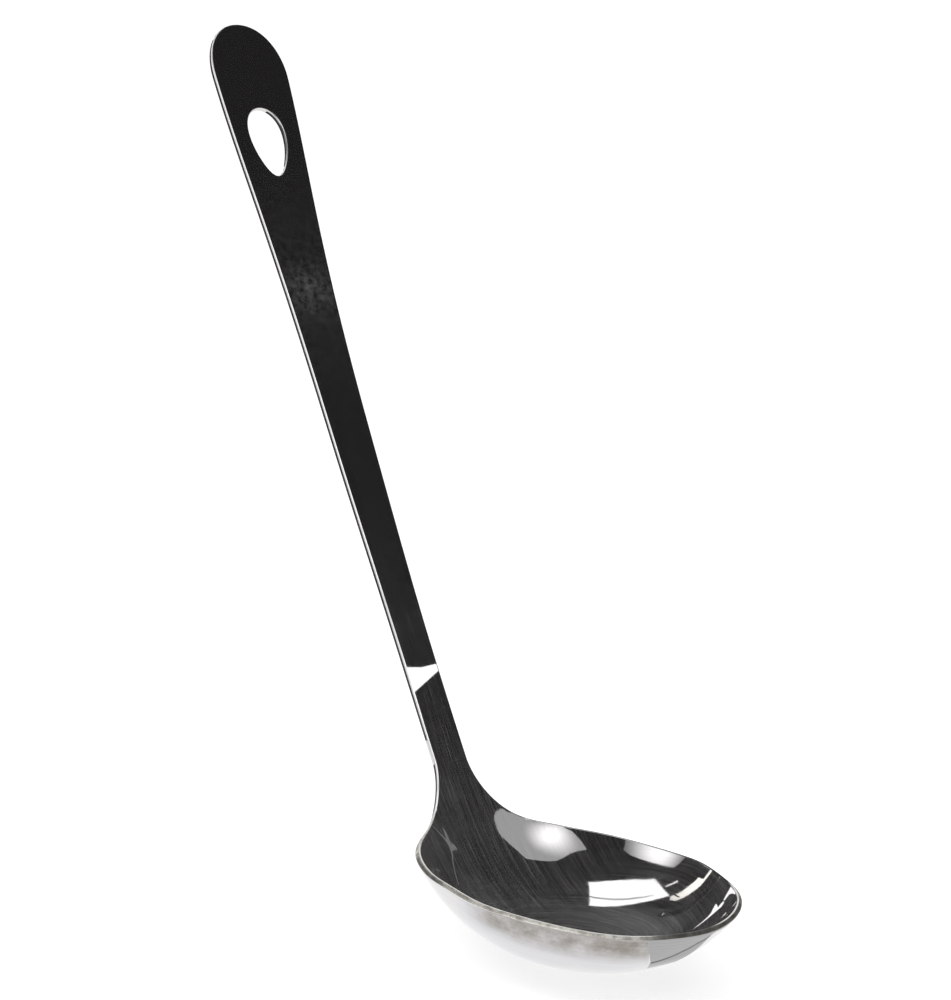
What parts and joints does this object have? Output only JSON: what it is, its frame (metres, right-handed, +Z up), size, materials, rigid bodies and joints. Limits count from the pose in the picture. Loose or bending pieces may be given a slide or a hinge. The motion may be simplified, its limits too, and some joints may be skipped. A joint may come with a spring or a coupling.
{
  "type": "soup ladle",
  "caption": "Polished steel soup ladle: shallow round bowl flaring from a narrow neck, on a long flat tapered handle with a hanging hole.",
  "frame": {"origin": "centre of the hanging hole near the end of the handle, midway through the sheet", "axes": "+Z up with the bowl's rim level to within 1 mm, +X from the handle towards the pouring edge, +Y across; the XZ plane is the mirror plane"},
  "size_m": [0.2787, 0.0854, 0.2199],
  "materials": {
    "polished_steel": "mirror-polished stainless steel with faint lengthwise grain"
  },
  "bodies": {
    "root": {"bowl": "polished_steel", "handle": "polished_steel"}
  },
  "joints": []
}
